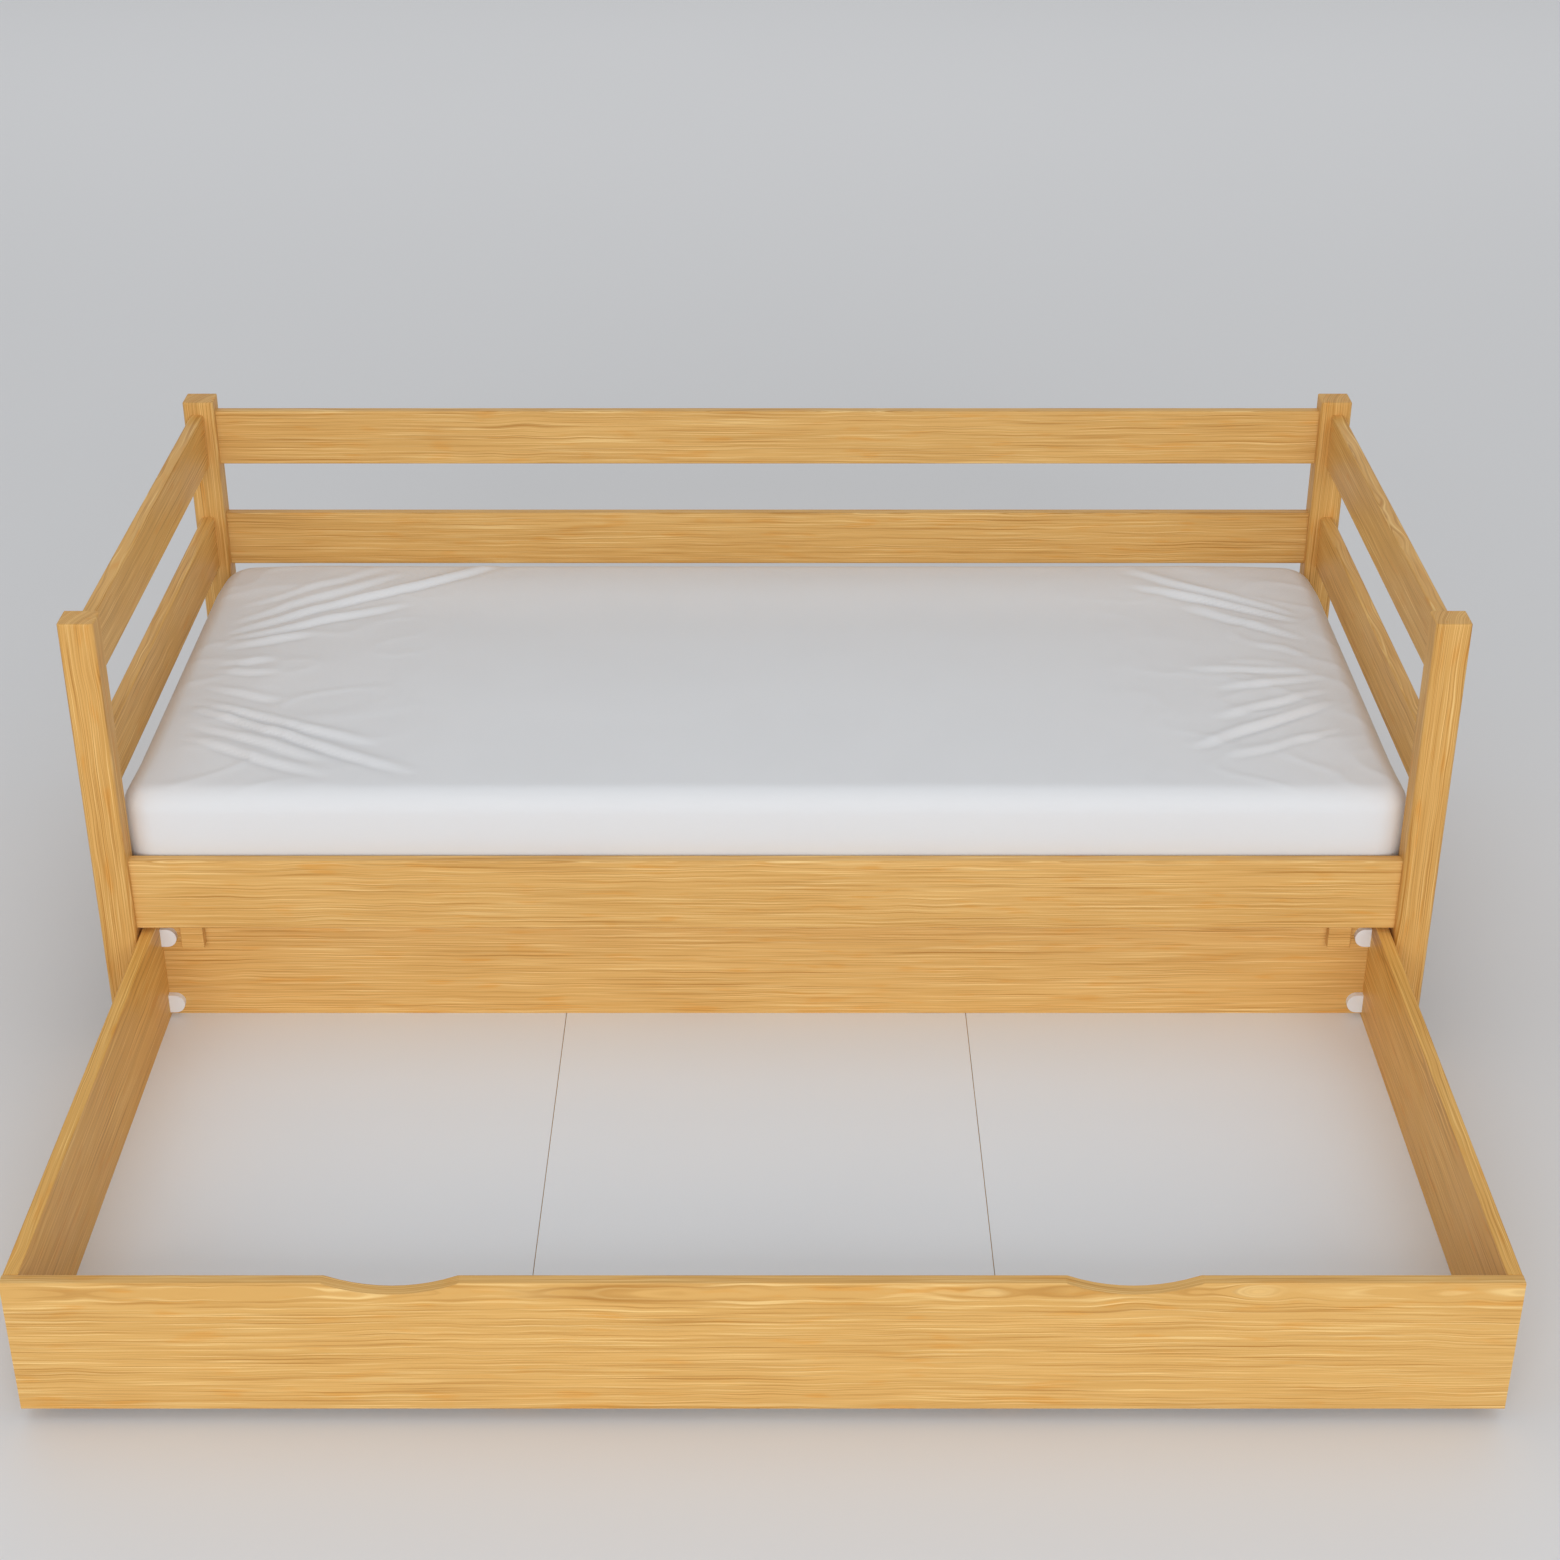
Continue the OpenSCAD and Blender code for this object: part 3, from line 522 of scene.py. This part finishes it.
def wrapPoint(p, half, corner, edge):
    sx, sy, sz = (math.copysign(1.0, c) for c in p)
    x, y, z = (abs(c) for c in p)
    # plan corners
    u, v = (x - half.x + corner) / corner, (y - half.y + corner) / corner
    if u > 0 and v > 0:
        u, v = roundSquare(u, v)
        x, y = half.x - corner + corner * u, half.y - corner + corner * v
    # how far inside the outline the point lies, and which way is out
    cx, cy = x - half.x + corner, y - half.y + corner
    if cx > 0 and cy > 0:
        reach = math.hypot(cx, cy)
        inset, out = corner - reach, (cx / reach, cy / reach)
    elif half.x - x < half.y - y:
        inset, out = half.x - x, (1.0, 0.0)
    else:
        inset, out = half.y - y, (0.0, 1.0)
    # soft edges top and bottom
    u, v = (edge - inset) / edge, (z - half.z + edge) / edge
    if u > 0 and v > 0:
        un, vn = roundSquare(min(u, 1.0), min(v, 1.0))
        shift = edge * (u - un)
        x, y, z = x - out[0] * shift, y - out[1] * shift, half.z - edge + edge * vn
    return sx * x, sy * y, sz * z


def meshPiece(name, points, faces, material):
    mesh = bpy.data.meshes.new(name)
    mesh.from_pydata(points, [], faces)
    mesh.update()
    mesh.shade_smooth()
    mesh.materials.append(material)
    piece = bpy.data.objects.new(name, mesh)
    bpy.context.scene.collection.objects.link(piece)
    return piece


# Tension folds that fan out from the left end and the right: where across the bed, angle, length, height
foldFans = {
    "left": [
        (0.66, 37, 0.25, 0.7), (0.60, 38, 0.30, 1.0), (0.555, 34, 0.50, 1.6), (0.525, 27, 0.30, 1.3),
        (0.49, 25, 0.14, 0.9), (0.43, 12, 0.09, 0.8), (0.40, 0, 0.10, 0.7), (0.345, -22, 0.13, 0.9),
        (0.285, -25, 0.31, 1.4), (0.26, -30, 0.40, 1.6), (0.21, -28, 0.24, 1.2), (0.16, -27, 0.25, 1.2)],
    "right": [
        (0.625, 35, 0.30, 1.3), (0.60, 30, 0.28, 1.5), (0.53, 35, 0.21, 1.1), (0.46, 33, 0.09, 0.7),
        (0.40, 4, 0.20, 0.7), (0.385, -14, 0.17, 0.9), (0.33, -25, 0.20, 1.1), (0.285, -31, 0.27, 1.6),
        (0.19, -25, 0.20, 0.9)],
}
# A fold is a ridge with one steep side and a valley beyond it; it wanders a little and fades at both ends
foldShape = {
    "startX": 0.925, "height": 0.0038, "width": 0.0085, "widening": 0.5, "steepSide": 0.6,
    "valley": 0.85, "valleyAway": 2.2, "before": 0.03, "beyond": 1.1, "fadePower": 0.7,
    "drift": 0.006, "driftRate": 2.5, "driftStep": 5.3, "driftSide": 9.0,
    "jitter": 0.0022, "jitterRate": 22.0, "jitterStep": 3.1, "jitterSide": 4.0,
}
# Soft rumples between the folds, towards the ends
rumples = {"from": 0.52, "over": 0.25, "height": 0.0022, "along": 8.0, "across": 13.0, "turn": 3.0,
           "offset": 2.6, "sharpness": 2.5}


# Height of the cloth above the smooth block at a point of its top
def foldLift(x, y):
    side = -1 if x < 0 else 1
    lift = 0.0
    for count, (startY, angle, length, height) in enumerate(foldFans["left" if x < 0 else "right"]):
        along = (math.cos(math.radians(angle)), math.sin(math.radians(angle)))
        inward = foldShape["startX"] - abs(x)
        across = y - startY
        t = (inward * along[0] + across * along[1]) / length
        if not -foldShape["before"] < t < foldShape["beyond"]:
            continue
        drift = foldShape["drift"] * noise.noise(Vector((
            t * foldShape["driftRate"], count * foldShape["driftStep"], side * foldShape["driftSide"])))
        jitter = foldShape["jitter"] * noise.noise(Vector((
            inward * foldShape["jitterRate"], count * foldShape["jitterStep"],
            side * foldShape["jitterSide"])))
        d = across * along[0] - inward * along[1] + (drift + jitter)
        width = foldShape["width"] * (1.0 + foldShape["widening"] * t)
        steep = width * foldShape["steepSide"]
        done = rise(t, -foldShape["before"], foldShape["before"] + foldShape["beyond"])
        fade = math.sin(math.pi * done) ** foldShape["fadePower"]
        ridge = math.exp(-(d / (steep if d < 0 else width)) ** 2)
        valley = foldShape["valley"] * math.exp(-((d + foldShape["valleyAway"] * steep) / steep) ** 2)
        lift += height * foldShape["height"] * fade * (ridge - valley)
    nearEnd = rise(abs(x), rumples["from"], rumples["over"])
    wave = noise.noise(Vector((
        x * rumples["along"], y * rumples["across"] + rumples["turn"] * abs(x), rumples["offset"])))
    return lift + nearEnd * rumples["height"] * max(1.0 - rumples["sharpness"] * abs(wave), 0.0) ** 2


clothLook = {
    "roughness": 0.85, "sheenRoughness": 0.5, "slubShare": 0.10, "slubTone": 0.9, "bumpStrength": 0.35,
}
sheetLook = {"colour": (0.79, 0.805, 0.83), "threads": 5200.0, "bump": 0.00012, "sheen": 0.04}
tickingLook = {"colour": (0.72, 0.72, 0.73), "threads": 2600.0, "bump": 0.0003, "sheen": 0.1}


def makeCloth(name, colour, threads, bump, sheen):
    material, tree, body, coordinates = newMaterial(name, {
        "Roughness": clothLook["roughness"], "Sheen Weight": sheen,
        "Sheen Roughness": clothLook["sheenRoughness"]})
    weave = useGroup(tree, weaveGroup, {"Threads": threads}, coordinates)
    slub = mathNode(tree, "MULTIPLY", weave.outputs["Slub"], clothLook["slubShare"])
    shaded = mixColour(tree, slub, colour, darker(colour, clothLook["slubTone"]))
    tree.links.new(shaded, body.inputs["Base Color"])
    addBump(tree, body, weave.outputs["Height"], bump, clothLook["bumpStrength"])
    return material


sheetCloth = makeCloth("sheetCotton", **sheetLook)
tickingCloth = makeCloth("mattressTicking", **tickingLook)

coreLow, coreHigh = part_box("mattress")
sheetLow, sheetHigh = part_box("fitted_sheet")
middle = (sheetLow + sheetHigh) / 2
halfSheet = (sheetHigh - sheetLow) / 2


# The ends and the back lean in a little towards the top, but the front corners stay full
def leanIn(point):
    upward = (point.z - middle.z) / (sheetHigh.z - middle.z)
    fromFront = rise(point.y, sheetLow.y, lean["frontOver"])
    leanX = rise(abs(point.x), lean["endsFrom"], lean["endsOver"]) * fromFront
    leanY = rise(point.y - middle.y, lean["backFrom"], lean["backOver"])
    rounder = lean["backCorners"] * leanX * leanY
    point.x -= math.copysign((lean["ends"] * leanX + rounder) * upward, point.x)
    point.y -= (lean["ends"] * leanY + rounder) * upward


def clothWaves(x, y):
    return sum(share * (1.0 + noise.noise(Vector((x * along, y * across, offset))))
               for share, along, across, offset in bedding["waves"])


coreLow = coreLow + Vector((core["in"], core["in"], 0.0))
coreHigh = coreHigh - Vector((core["in"], core["in"], core["drop"]))
points, faces = softBlock(coreLow, coreHigh, bedding["corner"] - core["tighter"],
                          bedding["edge"] - core["tighter"], bedding["cell"] * core["cells"])
for point in points:
    if point.z > middle.z:
        leanIn(point)
mattressCore = meshPiece("mattressCore", points, faces, tickingCloth)
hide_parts("mattress")
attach(mattressCore, "mattress")

points, faces = softBlock(sheetLow, sheetHigh, bedding["corner"], bedding["edge"], bedding["cell"])
flatTo = [halfSheet[i] - bedding["edge"] * bedding["flatEdge"] for i in range(2)]
for point in points:
    if point.z > middle.z:
        leanIn(point)
        nearEdge = min(rise(flatTo[0] - abs(point.x), 0.0, bedding["edgeFade"]),
                       rise(flatTo[1] - abs(point.y - middle.y), 0.0, bedding["edgeFade"]))
        waves = bedding["waveHeight"] * clothWaves(point.x, point.y)
        point.z += nearEdge * (foldLift(point.x, point.y) + waves)
# the sheet turns in under the mattress by its hem and is open beyond it
keep = []
for face in faces:
    centre = sum((points[i] for i in face), Vector()) / 4
    inside = (abs(centre.x - middle.x) < halfSheet.x - bedding["hem"]
              and abs(centre.y - middle.y) < halfSheet.y - bedding["hem"])
    if not (inside and centre.z < middle.z):
        keep.append(face)
fittedSheet = meshPiece("fittedSheet", points, keep, sheetCloth)
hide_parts("fitted_sheet")
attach(fittedSheet, "mattress")
# cut to the mattress's width and length, with its height and a hem on every side
print("bedding made")
